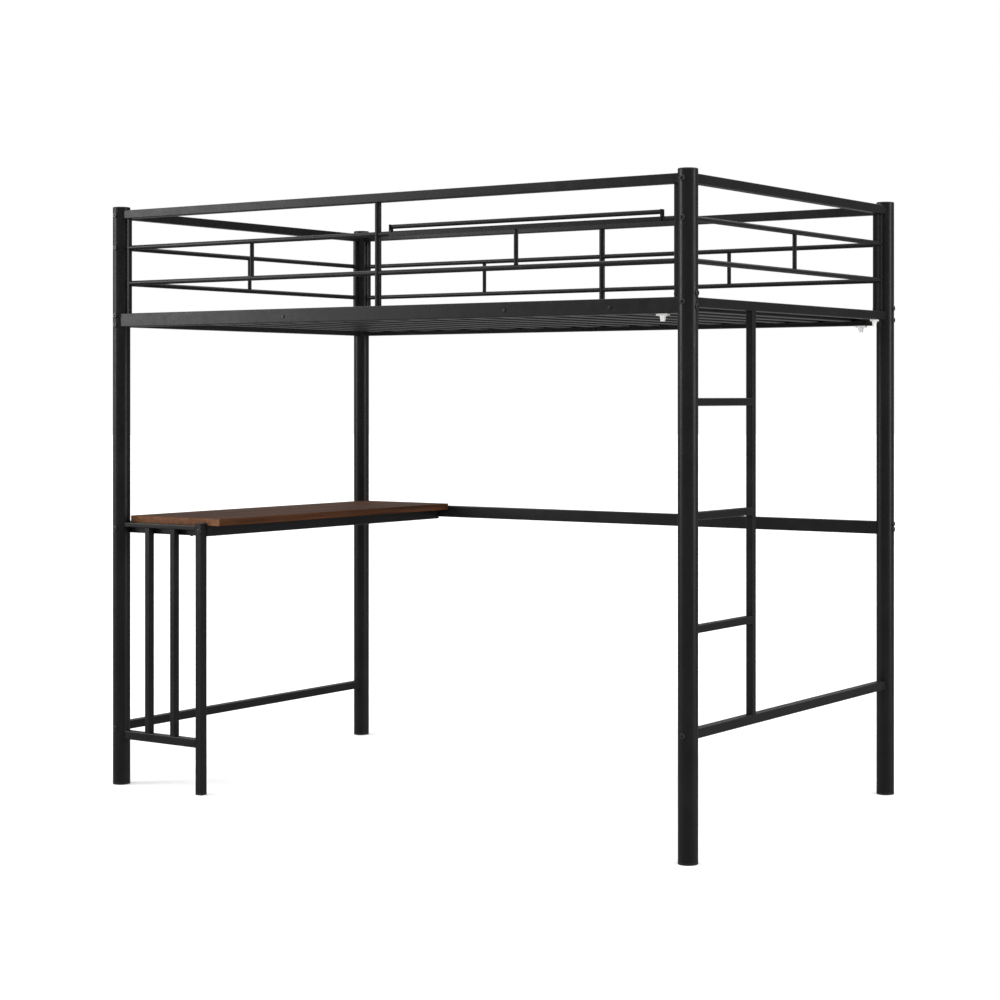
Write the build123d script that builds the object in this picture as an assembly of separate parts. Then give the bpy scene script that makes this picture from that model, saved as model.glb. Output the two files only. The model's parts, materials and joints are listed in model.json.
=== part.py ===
"""Loft bed with a desk at one end: a bolted frame of steel tubes round four posts.

+X runs from the desk end to the ladder end, +Y from the open front to the back and +Z up.
The origin is on the floor, under the middle of the bed. All sizes are in millimetres.
"""
from build123d import *
import os

# Overall frame, between post centres
BED_LENGTH = 1968.0
BED_WIDTH = 1106.0
HEIGHT = 1715.0
POST_X = BED_LENGTH / 2
POST_Y = BED_WIDTH / 2

# Posts, with a plastic cap on top and a plastic foot below
POST_OD = 51.0
POST_WALL = 1.5
POST_RADIUS = POST_OD / 2
CAP_LIP = 4.0
CAP_PLUG_DEPTH = 9.0
FOOT_LIP = 6.0
FOOT_PLUG_DEPTH = 20.0
PLUG_CLEARANCE = 0.3

# Tube sections
RAIL = 25.0
RAIL_WALL = 1.5
THIN_WALL = 1.2
TUBE_CORNER = 2.5
ROD_OD = 14.0
SHORT_ROD_OD = 12.0
GUARD_CENTRE_OD = 18.0

# Bed rails and slats
BED_TOP = 1398.0
SIDE_RAIL_HEIGHT = 40.0
SIDE_RAIL_WIDTH = 30.0
SIDE_RAIL_Y = POST_Y + 4.0
END_RAIL_HEIGHT = {"desk": 40.0, "ladder": 25.0}
SLAT_COUNT = 17
SLAT_PITCH = BED_LENGTH / (SLAT_COUNT + 1)
SLAT_WIDTH = 38.0
SLAT_HEIGHT = 12.0
SLAT_BOTTOM = 1370.0
SLAT_END_GAP = 2.5
LEDGE_WIDTH = 22.0
LEDGE_THICKNESS = 2.0
SCREWED_SLATS = (-3, 4, 7)

# Guards
TOP_RAIL_Z = 1691.5
UPPER_ROD_Z = 1593.0
LOWER_ROD_Z = 1488.0
GUARD_END_UPRIGHT = 12.0
GUARD_MID_X = 462.0
WELD_GAP = 0.3
GRAB_START_X = 45.0
GRAB_END_X = 912.0
GRAB_ROD_OD = 12.0
GRAB_RAIL_Z = 1611.5
GRAB_STRIP_THICKNESS = 3.0
GRAB_STRIP_TOP = 1597.0
GRAB_STRIP_HEIGHT = 11.0

# Ladder end
LADDER_BAR_Z = 318.0
STILE = 20.0
STILE_Y = -242.0
RUNG = 20.0
RUNG_HEIGHTS = (576.0, 856.0, 1138.5)
LADDER_FACE_X = POST_X + RAIL / 2

# Desk end
DESK_TOP_Z = 798.0
BOARD_THICKNESS = 20.0
BOARD_BACK_X = -960.0
BOARD_FRONT_X = -600.0
BOARD_END_Y = 540.0
BOARD_UNDERSIDE = DESK_TOP_Z - BOARD_THICKNESS
DESK_RAIL_WIDTH = 20.0
DESK_RAIL_HEIGHT = 31.0
CROSS_RAIL_Y = 530.0
DESK_RAIL_X = -651.0
DESK_RAIL_BOLT_X = -655.5
WALL_RAIL_Z = 767.5
LEG = 24.0
LEG_X = -660.0
LEG_TOP = 785.0
FRAME_BAR_HEIGHT = 13.0
FRAME_BAR_Z = BOARD_UNDERSIDE - FRAME_BAR_HEIGHT / 2
FRAME_LOWER_HEIGHT = 25.0
FRAME_LOWER_Z = 148.0
FRAME_UPRIGHT = 20.0
MID_RAIL_Z = 771.5
MID_RAIL_HEIGHT = 37.0
DESK_BAR_Z = 172.5

# Fasteners
BOLT_SHANK = 6.0
BOLT_HOLE = 6.6
BOLT_HEAD = 15.0
BOLT_HEAD_HEIGHT = 3.5
BOLT_SOCKET = 6.0
BOLT_REACH = 14.0
ROD_BOLT_REACH = 26.0
NUT_DEPTH = 10.0
NUT_GAP = 2.0
SCREW_SHANK = 5.0
SCREW_HOLE = 5.4
SCREW_HEAD = 9.0
SCREW_HEAD_HEIGHT = 2.5
SCREW_BITE = 12.0

SIGNS = (-1, 1)
CORNERS = {
    "post_front_left": (-POST_X, -POST_Y),
    "post_front_right": (POST_X, -POST_Y),
    "post_back_left": (-POST_X, POST_Y),
    "post_back_right": (POST_X, POST_Y),
}


# Basic solids ------------------------------------------------------------------------------

def section_plane(start, end):
    """Plane at start, facing end, with its x axis level across the run."""
    run = Vector(*end) - Vector(*start)
    across = (0, 1, 0) if abs(run.X) > 0 else (1, 0, 0)
    return Plane(origin=start, x_dir=across, z_dir=run), run.length


def box_tube(start, end, width, height, wall):
    plane, length = section_plane(start, end)
    outer = RectangleRounded(width, height, TUBE_CORNER)
    inner = RectangleRounded(width - 2 * wall, height - 2 * wall, TUBE_CORNER - wall)
    return extrude(plane * (outer - inner), length)


def block(start, end, width, height, corner=1.5):
    plane, length = section_plane(start, end)
    return extrude(plane * RectangleRounded(width, height, corner), length)


def round_bar(start, end, diameter):
    plane, length = section_plane(start, end)
    return extrude(plane * Circle(diameter / 2), length)


def round_tube(start, end, diameter, wall):
    bore = round_bar(start, end, diameter - 2 * wall)
    return round_bar(start, end, diameter) - bore


def post_envelope(x, y):
    return round_bar((x, y, 0), (x, y, HEIGHT), POST_OD)


def cope(bar):
    """Cut a bar's ends to the round of whichever posts it meets."""
    for x, y in CORNERS.values():
        bar -= post_envelope(x, y)
    return bar


def group(solids):
    return Compound(children=[Compound(s.solids()) for s in solids])


# Fasteners ---------------------------------------------------------------------------------

def along(point, direction, distance):
    return tuple(p + d * distance for p, d in zip(point, direction))


def bolt(seat, direction, length):
    """Button-head bolt with a hexagon socket. Its head stands on seat, its shank runs along direction."""
    back = tuple(-d for d in direction)
    head_plane = Plane(origin=seat, z_dir=back)
    head = extrude(head_plane * Circle(BOLT_HEAD / 2), BOLT_HEAD_HEIGHT)
    head = fillet(head.faces().sort_by(Axis(seat, back))[-1].edges(), BOLT_HEAD_HEIGHT * 0.6)
    mouth = Plane(origin=along(seat, back, BOLT_HEAD_HEIGHT), z_dir=direction)
    head -= extrude(mouth * RegularPolygon(BOLT_SOCKET / 2, 6), BOLT_HEAD_HEIGHT * 0.6)
    return head + round_bar(seat, along(seat, direction, length), BOLT_SHANK)


def screw(seat, direction, length):
    """Pan-head screw."""
    back = tuple(-d for d in direction)
    head = extrude(Plane(origin=seat, z_dir=back) * Circle(SCREW_HEAD / 2), SCREW_HEAD_HEIGHT)
    head = fillet(head.faces().sort_by(Axis(seat, back))[-1].edges(), SCREW_HEAD_HEIGHT * 0.5)
    return head + round_bar(seat, along(seat, direction, length), SCREW_SHANK)


def drill(point, direction, length, diameter):
    return round_bar(along(point, direction, -1), along(point, direction, length), diameter)


# Heights of the bolts that run through a post, along X into the side rails and guards and
# along Y into the rails and guards of the two ends.
SIDE_BOLTS = (BED_TOP + 9, BED_TOP - 25)
MID_RAIL_BOLTS = (MID_RAIL_Z - 4, MID_RAIL_Z + 12)
FRAME_BOLTS = (FRAME_BAR_Z, FRAME_LOWER_Z)
END_BOLTS = (TOP_RAIL_Z - 2, UPPER_ROD_Z)
DESK_END_BOLTS = (BED_TOP - 6, BED_TOP - 34, WALL_RAIL_Z - 6.5, DESK_BAR_Z - 5)
LADDER_END_BOLTS = (BED_TOP - 12.5, LADDER_BAR_Z)


def post_bolts(x, y):
    """(height, direction) of every bolt through the post at x, y."""
    inward_x = (-1 if x > 0 else 1, 0, 0)
    inward_y = (0, -1 if y > 0 else 1, 0)
    along_x = SIDE_BOLTS
    if y > 0:
        along_x += MID_RAIL_BOLTS
    elif x < 0:
        along_x += FRAME_BOLTS
    along_y = END_BOLTS + (DESK_END_BOLTS if x < 0 else LADDER_END_BOLTS)
    return [(z, inward_x) for z in along_x] + [(z, inward_y) for z in along_y]


def bolt_length(z):
    """A bolt that threads into the end of a rod goes deeper than one that meets a nut block."""
    return POST_OD + (ROD_BOLT_REACH if z == UPPER_ROD_Z else BOLT_REACH)


def bolt_seat(x, y, z, direction):
    return along((x, y, z), direction, -POST_RADIUS)


def make_rail_bolts():
    bolts = []
    for x, y in CORNERS.values():
        for z, direction in post_bolts(x, y):
            bolts.append(bolt(bolt_seat(x, y, z, direction), direction, bolt_length(z)))
    rail_z = BOARD_UNDERSIDE - DESK_RAIL_HEIGHT / 2
    leg_face = (DESK_RAIL_BOLT_X, -POST_Y - LEG / 2, rail_z)
    mid_face = (DESK_RAIL_BOLT_X, POST_Y + RAIL / 2, rail_z)
    bolts.append(bolt(leg_face, (0, 1, 0), LEG + BOLT_REACH))
    bolts.append(bolt(mid_face, (0, -1, 0), RAIL + BOLT_REACH))
    return group(bolts)


def cut_bolt_holes(solid):
    """Open clearance holes wherever a bolt passes."""
    for x, y in CORNERS.values():
        for z, direction in post_bolts(x, y):
            seat = bolt_seat(x, y, z, direction)
            solid -= drill(seat, direction, bolt_length(z), BOLT_HOLE)
    return solid


def nut_block(x, y, z, direction, width, height):
    """Threaded block welded inside the end of a rail."""
    start = along((x, y, z), direction, POST_RADIUS + NUT_GAP)
    end = along(start, direction, NUT_DEPTH)
    return block(start, end, width, height)


def clear_inside(size, wall):
    """Size of a block that slides into a tube."""
    return size - 2 * wall - 0.4


BAR_HEIGHTS = {"desk": (DESK_BAR_Z, WALL_RAIL_Z), "ladder": (LADDER_BAR_Z,)}


def make_rail_nuts():
    """One block in each rail end that a bolt reaches."""
    clear = clear_inside(RAIL, RAIL_WALL)
    side_width = clear_inside(SIDE_RAIL_WIDTH, RAIL_WALL)
    side_height = clear_inside(SIDE_RAIL_HEIGHT, RAIL_WALL)
    mid_height = clear_inside(MID_RAIL_HEIGHT, RAIL_WALL)
    frame_clear = clear_inside(LEG, THIN_WALL)
    bar_clear = clear_inside(FRAME_BAR_HEIGHT, THIN_WALL)
    lower_clear = clear_inside(FRAME_LOWER_HEIGHT, THIN_WALL)
    side_z = BED_TOP - SIDE_RAIL_HEIGHT / 2
    blocks = []
    for x, y in CORNERS.values():
        inward_x = (-1 if x > 0 else 1, 0, 0)
        inward_y = (0, -1 if y > 0 else 1, 0)
        side_y = SIDE_RAIL_Y if y > 0 else -SIDE_RAIL_Y
        end = "desk" if x < 0 else "ladder"
        end_height = END_RAIL_HEIGHT[end]
        end_z = BED_TOP - end_height / 2
        end_clear = clear_inside(end_height, RAIL_WALL)
        blocks.append(nut_block(x, side_y, side_z, inward_x, side_width, side_height))
        blocks.append(nut_block(x, y, TOP_RAIL_Z, inward_y, clear, clear))
        blocks.append(nut_block(x, y, end_z, inward_y, clear, end_clear))
        for z in BAR_HEIGHTS[end]:
            blocks.append(nut_block(x, y, z, inward_y, clear, clear))
        if y > 0:
            blocks.append(nut_block(x, y, MID_RAIL_Z, inward_x, clear, mid_height))
        elif x < 0:
            blocks.append(nut_block(x, y, FRAME_BAR_Z, inward_x, frame_clear, bar_clear))
            blocks.append(nut_block(x, y, FRAME_LOWER_Z, inward_x, frame_clear, lower_clear))
    rail_z = BOARD_UNDERSIDE - DESK_RAIL_HEIGHT / 2
    inside_width = clear_inside(DESK_RAIL_WIDTH, THIN_WALL)
    inside_height = clear_inside(DESK_RAIL_HEIGHT, THIN_WALL)
    for face_y, inward in ((-POST_Y + LEG / 2, 1), (POST_Y - RAIL / 2, -1)):
        start_y = face_y + inward * NUT_GAP
        end_y = start_y + inward * NUT_DEPTH
        start = (DESK_RAIL_X, start_y, rail_z)
        end = (DESK_RAIL_X, end_y, rail_z)
        nut = block(start, end, inside_width, inside_height)
        hole = drill((DESK_RAIL_BOLT_X, start_y, rail_z), (0, inward, 0), NUT_DEPTH + 1, BOLT_HOLE)
        blocks.append(nut - hole)
    return group([cut_bolt_holes(nut) for nut in blocks])


# Posts -------------------------------------------------------------------------------------

def make_post(x, y):
    post = round_tube((x, y, FOOT_LIP), (x, y, HEIGHT - CAP_LIP), POST_OD, POST_WALL)
    for z, direction in post_bolts(x, y):
        post -= drill(bolt_seat(x, y, z, direction), direction, POST_OD + 1, BOLT_HOLE)
    return post


def make_tube_caps():
    """Push-in caps: one on each post and one on the desk leg."""
    plug_radius = POST_RADIUS - POST_WALL - PLUG_CLEARANCE
    caps = []
    for x, y in CORNERS.values():
        lip = Pos(x, y, HEIGHT - CAP_LIP / 2) * Cylinder(POST_RADIUS, CAP_LIP)
        lip = fillet(lip.edges().sort_by(Axis.Z)[-1], CAP_LIP * 0.6)
        plug_z = HEIGHT - CAP_LIP - CAP_PLUG_DEPTH / 2
        caps.append(lip + Pos(x, y, plug_z) * Cylinder(plug_radius, CAP_PLUG_DEPTH))
    plug = LEG - 2 * THIN_WALL - PLUG_CLEARANCE
    leg_lip = block((LEG_X, -POST_Y, LEG_TOP - 2), (LEG_X, -POST_Y, LEG_TOP), LEG, LEG, 2)
    caps.append(leg_lip + block((LEG_X, -POST_Y, LEG_TOP - 4.5), (LEG_X, -POST_Y, LEG_TOP - 1), plug, plug))
    return group(caps)


def make_feet():
    """Push-in feet: one under each post and one under the desk leg."""
    plug_radius = POST_RADIUS - POST_WALL - PLUG_CLEARANCE
    feet = []
    for x, y in CORNERS.values():
        lip = Pos(x, y, FOOT_LIP / 2) * Cylinder(POST_RADIUS, FOOT_LIP)
        lip = fillet(lip.edges().sort_by(Axis.Z)[0], 1.5)
        plug_z = FOOT_LIP + FOOT_PLUG_DEPTH / 2
        feet.append(lip + Pos(x, y, plug_z) * Cylinder(plug_radius, FOOT_PLUG_DEPTH))
    plug = LEG - 2 * THIN_WALL - PLUG_CLEARANCE
    leg_lip = block((LEG_X, -POST_Y, 0), (LEG_X, -POST_Y, FOOT_LIP), LEG, LEG, 2)
    feet.append(leg_lip + block((LEG_X, -POST_Y, FOOT_LIP), (LEG_X, -POST_Y, FOOT_LIP + 16), plug, plug))
    return group(feet)


# Bed rails and slats -----------------------------------------------------------------------

def slat_x(index):
    return index * SLAT_PITCH


def make_side_rail(side):
    """Rail along X with the ledge that carries the slats. side is -1 in front, 1 at the back."""
    y = side * SIDE_RAIL_Y
    z = BED_TOP - SIDE_RAIL_HEIGHT / 2
    rail = cope(box_tube((-POST_X, y, z), (POST_X, y, z), SIDE_RAIL_WIDTH, SIDE_RAIL_HEIGHT, RAIL_WALL))
    ledge_y = side * (SIDE_RAIL_Y - SIDE_RAIL_WIDTH / 2 - LEDGE_WIDTH / 2 + RAIL_WALL / 2)
    ledge_length = BED_LENGTH - POST_OD - 60
    ledge_z = SLAT_BOTTOM - LEDGE_THICKNESS / 2
    rail += Pos(0, ledge_y, ledge_z) * Box(ledge_length, LEDGE_WIDTH, LEDGE_THICKNESS)
    for index in SCREWED_SLATS:
        rail -= drill(slat_screw_seat(side, index), (0, -side, 0), SIDE_RAIL_WIDTH + 1, SCREW_HOLE)
    return rail


def slat_screw_seat(side, index):
    face_y = side * (SIDE_RAIL_Y + SIDE_RAIL_WIDTH / 2)
    return (slat_x(index), face_y, SLAT_BOTTOM + SLAT_HEIGHT / 2)


def make_end_rail(end):
    x = -POST_X if end == "desk" else POST_X
    height = END_RAIL_HEIGHT[end]
    z = BED_TOP - height / 2
    return cope(box_tube((x, -POST_Y, z), (x, POST_Y, z), RAIL, height, RAIL_WALL))


def make_slat(index):
    x = slat_x(index)
    reach = SIDE_RAIL_Y - SIDE_RAIL_WIDTH / 2 - SLAT_END_GAP
    z = SLAT_BOTTOM + SLAT_HEIGHT / 2
    return box_tube((x, -reach, z), (x, reach, z), SLAT_WIDTH, SLAT_HEIGHT, THIN_WALL)


def make_slat_clips():
    """White nylon clips under the rails at the ladder end: a pad with a tapered peg."""
    pad_length, pad_width, pad_height = 33.0, 12.0, 5.0
    peg_top, peg_bottom, peg_length = 14.0, 9.0, 14.0
    clip_x = POST_X - 76
    side_y = SIDE_RAIL_Y - SIDE_RAIL_WIDTH / 2 + pad_width / 2
    end_y = POST_Y - 71
    pad = Pos(0, 0, -pad_height / 2) * Box(pad_length, pad_width, pad_height)
    peg_face = Plane(origin=(0, 0, -pad_height), z_dir=(0, 0, -1))
    narrow_face = peg_face.offset(peg_length)
    peg = loft([peg_face * Rectangle(peg_top, 9), narrow_face * Rectangle(peg_bottom, 7)])
    clip = pad + peg
    side_z = BED_TOP - SIDE_RAIL_HEIGHT
    end_z = BED_TOP - END_RAIL_HEIGHT["ladder"]
    clips = [Pos(clip_x, side * side_y, side_z) * clip for side in SIGNS]
    clips.append(Pos(POST_X, end_y, end_z) * Rot(0, 0, 90) * clip)
    return group(clips)


# Guards ------------------------------------------------------------------------------------

# Where the end uprights stand: against the inner side of the posts.
GUARD_END_X = POST_X - POST_RADIUS - WELD_GAP - GUARD_END_UPRIGHT / 2
GUARD_END_Y = POST_Y - POST_RADIUS - WELD_GAP - GUARD_END_UPRIGHT / 2


def make_side_top_rail(side):
    y = side * POST_Y
    return cope(box_tube((-POST_X, y, TOP_RAIL_Z), (POST_X, y, TOP_RAIL_Z), RAIL, RAIL, RAIL_WALL))


def make_end_top_rail(x):
    return cope(box_tube((x, -POST_Y, TOP_RAIL_Z), (x, POST_Y, TOP_RAIL_Z), RAIL, RAIL, RAIL_WALL))


def end_upright(x, y):
    """Square upright beside a post, drilled for the bolts that come through the post."""
    bottom = (x, y, BED_TOP)
    top = (x, y, TOP_RAIL_Z - RAIL / 2)
    return cut_bolt_holes(box_tube(bottom, top, GUARD_END_UPRIGHT, GUARD_END_UPRIGHT, THIN_WALL))


def centre_upright(y):
    return round_tube((0, y, BED_TOP), (0, y, TOP_RAIL_Z - RAIL / 2), GUARD_CENTRE_OD, THIN_WALL)


def short_upright(x, y):
    """Rod between the two long rods, cut to their round."""
    bar = round_bar((x, y, LOWER_ROD_Z), (x, y, UPPER_ROD_Z), SHORT_ROD_OD)
    reach = ROD_OD
    for z in (LOWER_ROD_Z, UPPER_ROD_Z):
        bar -= round_bar((x - reach, y, z), (x + reach, y, z), ROD_OD)
        bar -= round_bar((x, y - reach, z), (x, y + reach, z), ROD_OD)
    return bar


def make_side_uprights(side):
    y = side * POST_Y
    tall = [end_upright(sign * GUARD_END_X, y) for sign in SIGNS]
    short = [short_upright(sign * GUARD_MID_X, y) for sign in SIGNS]
    return group(tall + [centre_upright(y)] + short)


def make_end_uprights(x):
    tall = [end_upright(x, sign * GUARD_END_Y) for sign in SIGNS]
    return group(tall + [short_upright(x, 0)])


def make_side_rods(side):
    """Two long rods, each in two lengths that stop at the centre upright."""
    y = side * POST_Y
    reach = GUARD_END_X - GUARD_END_UPRIGHT / 2
    centre = round_bar((0, y, BED_TOP), (0, y, TOP_RAIL_Z), GUARD_CENTRE_OD)
    rods = []
    for z in (UPPER_ROD_Z, LOWER_ROD_Z):
        rods.append(round_bar((-reach, y, z), (reach, y, z), ROD_OD) - centre)
    return group(rods)


def make_end_rods(x):
    """The upper rod is tapped at both ends for the bolts that come through the posts."""
    reach = GUARD_END_Y - GUARD_END_UPRIGHT / 2
    rods = [round_bar((x, -reach, z), (x, reach, z), ROD_OD) for z in (UPPER_ROD_Z, LOWER_ROD_Z)]
    return group([cut_bolt_holes(rod) for rod in rods])


def make_grab_rail():
    """Bar above the upper rod, on the half of the front guard that is nearer to the ladder."""
    start = (GRAB_START_X + GRAB_STRIP_THICKNESS, -POST_Y, GRAB_RAIL_Z)
    end = (GRAB_END_X - GRAB_STRIP_THICKNESS, -POST_Y, GRAB_RAIL_Z)
    return round_bar(start, end, GRAB_ROD_OD)


def make_grab_bracket():
    """Flat strip on the face of the upper rod, turned up at each end to hold the grab rail."""
    strip_y = -POST_Y - ROD_OD / 2 - GRAB_STRIP_THICKNESS / 2
    strip_z = GRAB_STRIP_TOP - GRAB_STRIP_HEIGHT / 2
    mid_x = (GRAB_START_X + GRAB_END_X) / 2
    length = GRAB_END_X - GRAB_START_X
    bracket = Pos(mid_x, strip_y, strip_z) * Box(length, GRAB_STRIP_THICKNESS, GRAB_STRIP_HEIGHT)
    bottom = UPPER_ROD_Z + ROD_OD / 2
    top = GRAB_RAIL_Z + GRAB_ROD_OD / 2
    front_y = strip_y - GRAB_STRIP_THICKNESS / 2
    back_y = -POST_Y + GRAB_ROD_OD / 2
    ear = Box(GRAB_STRIP_THICKNESS, back_y - front_y, top - bottom)
    foot = Box(GRAB_STRIP_THICKNESS, GRAB_STRIP_THICKNESS, GRAB_STRIP_HEIGHT)
    for x in (GRAB_START_X + GRAB_STRIP_THICKNESS / 2, GRAB_END_X - GRAB_STRIP_THICKNESS / 2):
        bracket += Pos(x, (front_y + back_y) / 2, (bottom + top) / 2) * ear
        bracket += Pos(x, strip_y, strip_z + GRAB_STRIP_THICKNESS) * foot
    return bracket


# Ladder end --------------------------------------------------------------------------------

def make_ladder_bar():
    start = (POST_X, -POST_Y, LADDER_BAR_Z)
    end = (POST_X, POST_Y, LADDER_BAR_Z)
    return cope(box_tube(start, end, RAIL, RAIL, RAIL_WALL))


def make_ladder_stile():
    x = LADDER_FACE_X - STILE / 2
    bottom = (x, STILE_Y, LADDER_BAR_Z + RAIL / 2)
    top = (x, STILE_Y, BED_TOP - END_RAIL_HEIGHT["ladder"])
    return box_tube(bottom, top, STILE, STILE, THIN_WALL)


def make_ladder_rung(z):
    x = LADDER_FACE_X - RUNG / 2
    start = (x, -POST_Y, z)
    end = (x, STILE_Y - STILE / 2, z)
    return cope(box_tube(start, end, RUNG, RUNG, THIN_WALL))


# Desk end ----------------------------------------------------------------------------------

def make_desk_lower_bar():
    start = (-POST_X, -POST_Y, DESK_BAR_Z)
    end = (-POST_X, POST_Y, DESK_BAR_Z)
    return cope(box_tube(start, end, RAIL, RAIL, RAIL_WALL))


def make_mid_rail():
    """Rail across the back, at desk height."""
    start = (-POST_X, POST_Y, MID_RAIL_Z)
    end = (POST_X, POST_Y, MID_RAIL_Z)
    rail = cope(box_tube(start, end, RAIL, MID_RAIL_HEIGHT, RAIL_WALL))
    seat = (DESK_RAIL_BOLT_X, POST_Y + RAIL / 2, BOARD_UNDERSIDE - DESK_RAIL_HEIGHT / 2)
    return rail - drill(seat, (0, -1, 0), RAIL + 1, BOLT_HOLE)


def board_screw_places():
    """Four screws through the cross rails, up into the board."""
    xs = (BOARD_BACK_X + 60, LEG_X - 60)
    return [(x, side * CROSS_RAIL_Y) for x in xs for side in SIGNS]


def make_desk_top():
    length = 2 * BOARD_END_Y
    width = BOARD_FRONT_X - BOARD_BACK_X
    mid_x = (BOARD_FRONT_X + BOARD_BACK_X) / 2
    board = Pos(mid_x, 0, DESK_TOP_Z - BOARD_THICKNESS / 2) * Box(width, length, BOARD_THICKNESS)
    board = fillet(board.edges().filter_by(Axis.Z), 3)
    board = fillet(board.faces().sort_by(Axis.Z)[-1].edges(), 1)
    for x, y in board_screw_places():
        board -= drill((x, y, BOARD_UNDERSIDE), (0, 0, 1), SCREW_BITE + 1, SCREW_HOLE)
    return board


def make_desk_long_rail():
    """Rail under the user's edge of the board, from the leg to the back rail."""
    z = BOARD_UNDERSIDE - DESK_RAIL_HEIGHT / 2
    start = (DESK_RAIL_X, -POST_Y + LEG / 2, z)
    end = (DESK_RAIL_X, POST_Y - RAIL / 2, z)
    return box_tube(start, end, DESK_RAIL_WIDTH, DESK_RAIL_HEIGHT, THIN_WALL)


def make_desk_wall_rail():
    start = (-POST_X, -POST_Y, WALL_RAIL_Z)
    end = (-POST_X, POST_Y, WALL_RAIL_Z)
    return cope(box_tube(start, end, RAIL, RAIL, RAIL_WALL))


def make_desk_cross_rails():
    """Short rails under each end of the board, from the wall rail to the long rail."""
    z = BOARD_UNDERSIDE - DESK_RAIL_HEIGHT / 2
    start_x = -POST_X + RAIL / 2
    end_x = DESK_RAIL_X - DESK_RAIL_WIDTH / 2
    rails = []
    for side in SIGNS:
        y = side * CROSS_RAIL_Y
        rail = box_tube((start_x, y, z), (end_x, y, z), DESK_RAIL_WIDTH, DESK_RAIL_HEIGHT, THIN_WALL)
        for x, screw_y in board_screw_places():
            if screw_y == y:
                seat = (x, y, z - DESK_RAIL_HEIGHT / 2)
                rail -= drill(seat, (0, 0, 1), DESK_RAIL_HEIGHT + 1, SCREW_HOLE)
        rails.append(cope(rail))
    return group(rails)


def make_desk_frame_bar(z, height):
    """Bar of the side frame, from the front post to the leg."""
    start = (-POST_X, -POST_Y, z)
    end = (LEG_X - LEG / 2, -POST_Y, z)
    return cope(box_tube(start, end, LEG, height, THIN_WALL))


def make_desk_frame_uprights():
    """Two uprights that leave three equal gaps in the side frame, flush with its front face."""
    y = -POST_Y - LEG / 2 + FRAME_UPRIGHT / 2
    bottom = FRAME_LOWER_Z + FRAME_LOWER_HEIGHT / 2
    top = BOARD_UNDERSIDE - FRAME_BAR_HEIGHT
    first = -POST_X + POST_RADIUS
    last = LEG_X - LEG / 2
    gap = (last - first - 2 * FRAME_UPRIGHT) / 3
    uprights = []
    for index in (1, 2):
        x = first + index * gap + (index - 0.5) * FRAME_UPRIGHT
        uprights.append(box_tube((x, y, bottom), (x, y, top), FRAME_UPRIGHT, FRAME_UPRIGHT, THIN_WALL))
    return group(uprights)


def make_desk_leg():
    leg = box_tube((LEG_X, -POST_Y, FOOT_LIP), (LEG_X, -POST_Y, LEG_TOP - 2), LEG, LEG, THIN_WALL)
    seat = (DESK_RAIL_BOLT_X, -POST_Y - LEG / 2, BOARD_UNDERSIDE - DESK_RAIL_HEIGHT / 2)
    return leg - drill(seat, (0, 1, 0), LEG + 1, BOLT_HOLE)


def make_frame_screws():
    """Screws that hold the slats to the side rails and the board to its cross rails."""
    screws = []
    for side in SIGNS:
        for index in SCREWED_SLATS:
            seat = slat_screw_seat(side, index)
            screws.append(screw(seat, (0, -side, 0), SIDE_RAIL_WIDTH + SLAT_END_GAP + SCREW_BITE))
    for x, y in board_screw_places():
        seat = (x, y, BOARD_UNDERSIDE - DESK_RAIL_HEIGHT)
        screws.append(screw(seat, (0, 0, 1), DESK_RAIL_HEIGHT + SCREW_BITE))
    return group(screws)


def build_parts():
    parts = {}
    for name, (x, y) in CORNERS.items():
        parts[name] = make_post(x, y)
    parts["tube_caps"] = make_tube_caps()
    parts["feet"] = make_feet()

    for name, side in (("front", -1), ("back", 1)):
        parts["side_rail_" + name] = make_side_rail(side)
        parts["guard_top_rail_" + name] = make_side_top_rail(side)
        parts["guard_rods_" + name] = make_side_rods(side)
        parts["guard_uprights_" + name] = make_side_uprights(side)
    for name, x in (("desk_end", -POST_X), ("ladder_end", POST_X)):
        parts["bed_rail_" + name] = make_end_rail(name.split("_")[0])
        parts["guard_top_rail_" + name] = make_end_top_rail(x)
        parts["guard_rods_" + name] = make_end_rods(x)
        parts["guard_uprights_" + name] = make_end_uprights(x)
    parts["grab_rail"] = make_grab_rail()
    parts["grab_rail_bracket"] = make_grab_bracket()

    half = SLAT_COUNT // 2
    for number in range(SLAT_COUNT):
        parts[f"slat_{number + 1:02d}"] = make_slat(number - half)
    parts["slat_clips"] = make_slat_clips()

    parts["ladder_lower_bar"] = make_ladder_bar()
    parts["ladder_stile"] = make_ladder_stile()
    for number, z in enumerate(RUNG_HEIGHTS):
        parts[f"ladder_rung_{number + 1}"] = make_ladder_rung(z)

    parts["back_mid_rail"] = make_mid_rail()
    parts["desk_end_lower_bar"] = make_desk_lower_bar()
    parts["desk_top"] = make_desk_top()
    parts["desk_long_rail"] = make_desk_long_rail()
    parts["desk_wall_rail"] = make_desk_wall_rail()
    parts["desk_cross_rails"] = make_desk_cross_rails()
    parts["desk_frame_top_bar"] = make_desk_frame_bar(FRAME_BAR_Z, FRAME_BAR_HEIGHT)
    parts["desk_frame_lower_bar"] = make_desk_frame_bar(FRAME_LOWER_Z, FRAME_LOWER_HEIGHT)
    parts["desk_frame_uprights"] = make_desk_frame_uprights()
    parts["desk_leg"] = make_desk_leg()

    parts["rail_bolts"] = make_rail_bolts()
    parts["rail_nuts"] = make_rail_nuts()
    parts["frame_screws"] = make_frame_screws()
    return parts


os.makedirs("parts", exist_ok=True)
for node, shape in build_parts().items():
    export_step(shape, f"parts/{node}.step")
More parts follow.
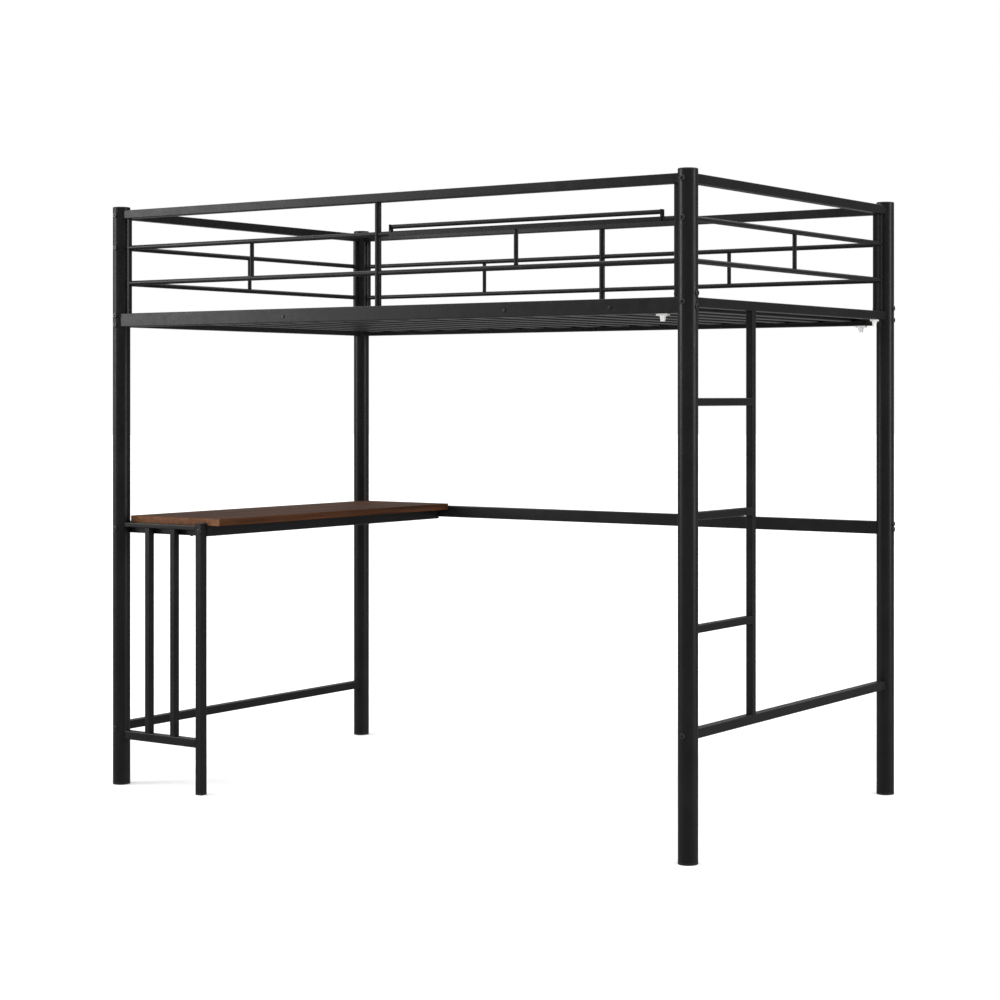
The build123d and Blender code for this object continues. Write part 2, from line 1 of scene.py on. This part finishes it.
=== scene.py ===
import bpy
import json
import math
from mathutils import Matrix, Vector


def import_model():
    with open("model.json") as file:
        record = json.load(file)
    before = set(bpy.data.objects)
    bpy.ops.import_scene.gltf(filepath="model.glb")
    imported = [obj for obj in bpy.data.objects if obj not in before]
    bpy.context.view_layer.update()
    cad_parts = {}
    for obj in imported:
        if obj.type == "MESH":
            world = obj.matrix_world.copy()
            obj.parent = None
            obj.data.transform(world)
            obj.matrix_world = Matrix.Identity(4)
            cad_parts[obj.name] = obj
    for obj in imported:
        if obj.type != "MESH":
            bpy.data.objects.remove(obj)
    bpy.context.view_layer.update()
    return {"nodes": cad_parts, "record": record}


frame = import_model()
sc = bpy.context.scene

# Set and camera, in metres, degrees and millimetres of lens
FLOOR_HALF_WIDTH = 60.0
DOME_RADIUS = 58.0
CAMERA_PLACE = (3.6892, -5.0344, 1.1539)
CAMERA_YAW = 33.4924
CAMERA_LENS = 76.37
CAMERA_SENSOR = 36.0
CAMERA_SHIFT = (-0.100, -0.1042)


# Materials ---------------------------------------------------------------------------------

def new_material(name):
    m = bpy.data.materials.new(name)
    m.use_nodes = True
    tree = m.node_tree
    shader = tree.nodes["Principled BSDF"]
    coords = tree.nodes.new("ShaderNodeTexCoord")
    return m, tree, shader, coords.outputs["Object"]


def noise(tree, vector, scale, detail=3.0, rough=0.5):
    n = tree.nodes.new("ShaderNodeTexNoise")
    n.inputs["Scale"].default_value = scale
    n.inputs["Detail"].default_value = detail
    n.inputs["Roughness"].default_value = rough
    tree.links.new(vector, n.inputs["Vector"])
    return n.outputs["Fac"]


def stretch(tree, vector, scale):
    m = tree.nodes.new("ShaderNodeMapping")
    m.inputs["Scale"].default_value = scale
    tree.links.new(vector, m.inputs["Vector"])
    return m.outputs["Vector"]


def remap(tree, value, low, high, out_low, out_high):
    r = tree.nodes.new("ShaderNodeMapRange")
    r.inputs["From Min"].default_value = low
    r.inputs["From Max"].default_value = high
    r.inputs["To Min"].default_value = out_low
    r.inputs["To Max"].default_value = out_high
    tree.links.new(value, r.inputs["Value"])
    return r.outputs["Result"]


def ramp(tree, value, stops):
    r = tree.nodes.new("ShaderNodeValToRGB")
    band = r.color_ramp
    while len(band.elements) < len(stops):
        band.elements.new(0.5)
    for e, (place, colour) in zip(band.elements, stops):
        e.position = place
        e.color = (*colour, 1.0)
    tree.links.new(value, r.inputs["Fac"])
    return r.outputs["Color"]


def mix(tree, kind, fac, a, b):
    m = tree.nodes.new("ShaderNodeMix")
    m.data_type = "RGBA"
    m.blend_type = kind
    if isinstance(fac, float):
        m.inputs["Factor"].default_value = fac
    else:
        tree.links.new(fac, m.inputs["Factor"])
    for key, v in (("A", a), ("B", b)):
        socket = [i for i in m.inputs if i.name == key and i.type == "RGBA"][0]
        if isinstance(v, tuple):
            socket.default_value = (*v, 1.0)
        else:
            tree.links.new(v, socket)
    return [o for o in m.outputs if o.type == "RGBA"][0]


def bump(tree, shader, height, distance, strength):
    b = tree.nodes.new("ShaderNodeBump")
    b.inputs["Distance"].default_value = distance
    b.inputs["Strength"].default_value = strength
    tree.links.new(height, b.inputs["Height"])
    tree.links.new(b.outputs["Normal"], shader.inputs["Normal"])


def powder_coat():
    """Satin black powder coat: fine orange peel, faint cloudiness and light scuffs."""
    m, t, s, v = new_material("black_powder_coat")
    cloud = noise(t, v, 9.0, 4.0)
    base = ramp(t, cloud, [(0.3, (0.0052, 0.0052, 0.0053)), (0.7, (0.0084, 0.0084, 0.0087))])
    scuffs = noise(t, stretch(t, v, (60, 60, 14)), 3.0, 6.0, 0.7)
    marks = remap(t, scuffs, 0.68, 0.78, 0.0, 0.5)
    t.links.new(mix(t, "MIX", marks, base, (0.014, 0.014, 0.0144)), s.inputs["Base Color"])
    t.links.new(remap(t, noise(t, v, 38.0, 5.0), 0.3, 0.7, 0.30, 0.39), s.inputs["Roughness"])
    s.inputs["Specular IOR Level"].default_value = 0.19
    bump(t, s, noise(t, v, 650.0, 2.0), 0.0002, 0.3)
    return m


def moulded_plastic(name, colour, rough, specular):
    m, t, s, v = new_material(name)
    a = tuple(c * 0.85 for c in colour)
    t.links.new(ramp(t, noise(t, v, 30.0), [(0.3, a), (0.7, colour)]), s.inputs["Base Color"])
    t.links.new(remap(t, noise(t, v, 80.0), 0.3, 0.7, rough, rough + 0.1), s.inputs["Roughness"])
    s.inputs["Specular IOR Level"].default_value = specular
    bump(t, s, noise(t, v, 1400.0, 3.0), 0.0002, 0.4)
    return m


def board():
    """Dark walnut foil with the grain along the desk, and a painted highlight: the faces turned to the
    front end are painted lighter for the light falling on that end.
    """
    m, t, s, v = new_material("walnut_board")
    long_grain = noise(t, stretch(t, v, (34.0, 1.0, 34.0)), 2.2, 6.0, 0.58)
    fine = noise(t, stretch(t, v, (180.0, 3.0, 180.0)), 2.0, 4.0, 0.55)
    broad = noise(t, stretch(t, v, (7.0, 0.7, 7.0)), 1.6, 3.0)
    body = ramp(t, long_grain, [(0.30, (0.029, 0.0115, 0.0050)), (0.48, (0.049, 0.0190, 0.0080)),
                                (0.62, (0.070, 0.0270, 0.0110)), (0.78, (0.042, 0.0160, 0.0068))])
    pores = ramp(t, fine, [(0.36, (0.55, 0.52, 0.50)), (0.50, (1.0, 1.0, 1.0))])
    body = mix(t, "MULTIPLY", 0.75, body, pores)
    shade = ramp(t, broad, [(0.3, (0.80, 0.78, 0.76)), (0.7, (1.12, 1.10, 1.08))])
    body = mix(t, "MULTIPLY", 1.0, body, shade)
    coords = t.nodes.new("ShaderNodeTexCoord")
    facing = t.nodes.new("ShaderNodeSeparateXYZ")
    t.links.new(coords.outputs["Normal"], facing.inputs["Vector"])
    # Painted highlight: faces turned towards -Y are mixed towards a lighter, warmer colour that stands in
    # for the light falling on the front end face.
    front_end_painted_light = remap(t, facing.outputs["Y"], -0.5, -0.9, 0.0, 0.85)
    painted_light_end_colour = ramp(t, long_grain, [(0.35, (0.120, 0.052, 0.026)), (0.65, (0.185, 0.088, 0.047))])
    t.links.new(mix(t, "MIX", front_end_painted_light, body, painted_light_end_colour), s.inputs["Base Color"])
    t.links.new(remap(t, long_grain, 0.3, 0.7, 0.66, 0.54), s.inputs["Roughness"])
    s.inputs["Specular IOR Level"].default_value = 0.05
    bump(t, s, fine, 0.0001, 0.3)
    return m


def fastener():
    m, t, s, v = new_material("black_zinc")
    t.links.new(ramp(t, noise(t, v, 300.0), [(0.3, (0.02, 0.02, 0.021)), (0.7, (0.045, 0.045, 0.047))]),
                s.inputs["Base Color"])
    s.inputs["Metallic"].default_value = 0.7
    t.links.new(remap(t, noise(t, v, 900.0), 0.3, 0.7, 0.28, 0.42), s.inputs["Roughness"])
    bump(t, s, noise(t, v, 1800.0), 0.0001, 0.3)
    return m


def zinc():
    m, t, s, v = new_material("zinc_steel")
    t.links.new(ramp(t, noise(t, v, 220.0), [(0.3, (0.45, 0.45, 0.46)), (0.7, (0.62, 0.62, 0.64))]),
                s.inputs["Base Color"])
    s.inputs["Metallic"].default_value = 1.0
    t.links.new(remap(t, noise(t, v, 500.0), 0.3, 0.7, 0.3, 0.45), s.inputs["Roughness"])
    bump(t, s, noise(t, v, 1500.0), 0.0001, 0.3)
    return m


MATERIALS = {
    "black_steel": powder_coat(),
    "black_plastic": moulded_plastic("black_plastic", (0.0075, 0.0075, 0.008), 0.5, 0.3),
    "white_nylon": moulded_plastic("white_nylon", (0.72, 0.72, 0.70), 0.4, 0.5),
    "wood_board": board(),
    "black_fastener": fastener(),
    "bare_steel": zinc(),
}
SLOT_OF = {s["node"]: s["material_slot"] for s in frame["record"]["subparts"]}


def wear(ob, material):
    ob.data.materials.clear()
    ob.data.materials.append(material)
    for p in ob.data.polygons:
        p.material_index = 0


for node, ob in frame["nodes"].items():
    wear(ob, MATERIALS[SLOT_OF[node]])


# Floor, light and camera -------------------------------------------------------------------

def floor():
    me = bpy.data.meshes.new("floor")
    r = FLOOR_HALF_WIDTH
    me.from_pydata([(-r, -r, 0), (r, -r, 0), (r, r, 0), (-r, r, 0)], [], [(0, 1, 2, 3)])
    ob = bpy.data.objects.new("floor", me)
    sc.collection.objects.link(ob)
    m, t, s, v = new_material("pale_floor")
    t.links.new(ramp(t, noise(t, v, 0.7), [(0.3, (0.90, 0.90, 0.90)), (0.7, (0.93, 0.93, 0.93))]),
                s.inputs["Base Color"])
    s.inputs["Roughness"].default_value = 0.9
    s.inputs["Specular IOR Level"].default_value = 0.0
    me.materials.append(m)
    ob.visible_glossy = False


def aim(ob, target):
    ob.rotation_euler = (Vector(target) - ob.location).to_track_quat("-Z", "Y").to_euler()


def area_light(name, place, target, width, height, power):
    lamp = bpy.data.lights.new(name, "AREA")
    lamp.shape = "RECTANGLE"
    lamp.size = width
    lamp.size_y = height
    lamp.energy = power
    ob = bpy.data.objects.new(name, lamp)
    ob.location = place
    sc.collection.objects.link(ob)
    aim(ob, target)


def world():
    """Dim room, darkest at eye level and lightest below, so that the black metal keeps its contrast."""
    w = bpy.data.worlds.new("studio")
    w.use_nodes = True
    t = w.node_tree
    coords = t.nodes.new("ShaderNodeTexCoord")
    split = t.nodes.new("ShaderNodeSeparateXYZ")
    t.links.new(coords.outputs["Generated"], split.inputs["Vector"])
    height = remap(t, split.outputs["Z"], -1.0, 1.0, 0.0, 1.0)
    tone = ramp(t, height, [(0.30, (0.60, 0.60, 0.60)), (0.47, (0.21, 0.21, 0.21)),
                            (0.70, (0.28, 0.28, 0.28))])
    t.links.new(tone, t.nodes["Background"].inputs["Color"])
    t.nodes["Background"].inputs["Strength"].default_value = 1.0
    sc.world = w


def sun(name, strength, spread):
    lamp = bpy.data.lights.new(name, "SUN")
    lamp.energy = strength
    lamp.angle = math.radians(spread)
    ob = bpy.data.objects.new(name, lamp)
    ob.location = (0, 0, 5)
    sc.collection.objects.link(ob)


def backdrop():
    """White dome round the whole set. It shows behind the bed but isn't mirrored in it."""
    bpy.ops.mesh.primitive_uv_sphere_add(segments=64, ring_count=32, radius=DOME_RADIUS, location=(0, 0, 0))
    ob = bpy.context.active_object
    ob.name = "backdrop"
    m = bpy.data.materials.new("white_backdrop")
    m.use_nodes = True
    shader = m.node_tree.nodes["Principled BSDF"]
    shader.inputs["Base Color"].default_value = (0.0, 0.0, 0.0, 1.0)
    shader.inputs["Specular IOR Level"].default_value = 0.0
    shader.inputs["Emission Color"].default_value = (1.0, 1.0, 1.0, 1.0)
    shader.inputs["Emission Strength"].default_value = 1.0
    ob.data.materials.append(m)
    ob.visible_diffuse = False
    ob.visible_glossy = False
    ob.visible_transmission = False
    ob.visible_shadow = False


def camera():
    data = bpy.data.cameras.new("camera")
    data.sensor_width = CAMERA_SENSOR
    data.lens = CAMERA_LENS
    data.shift_x, data.shift_y = CAMERA_SHIFT
    data.clip_end = 200.0
    ob = bpy.data.objects.new("camera", data)
    ob.location = CAMERA_PLACE
    ob.rotation_euler = (math.radians(90), 0.0, math.radians(CAMERA_YAW))
    sc.collection.objects.link(ob)
    sc.camera = ob


floor()
backdrop()
world()
sun("overhead_fill", 3.75, 130.0)
area_light("key_left", (-6.4, -5.1, 3.0), (0.0, 0.0, 1.2), 3.0, 4.0, 330.0)
area_light("side_right", (7.5, 1.6, 2.2), (0.4, 0.0, 1.0), 1.4, 4.2, 190.0)
camera()

sc.view_settings.view_transform = "Standard"
sc.view_settings.look = "None"
sc.view_settings.exposure = 0.0
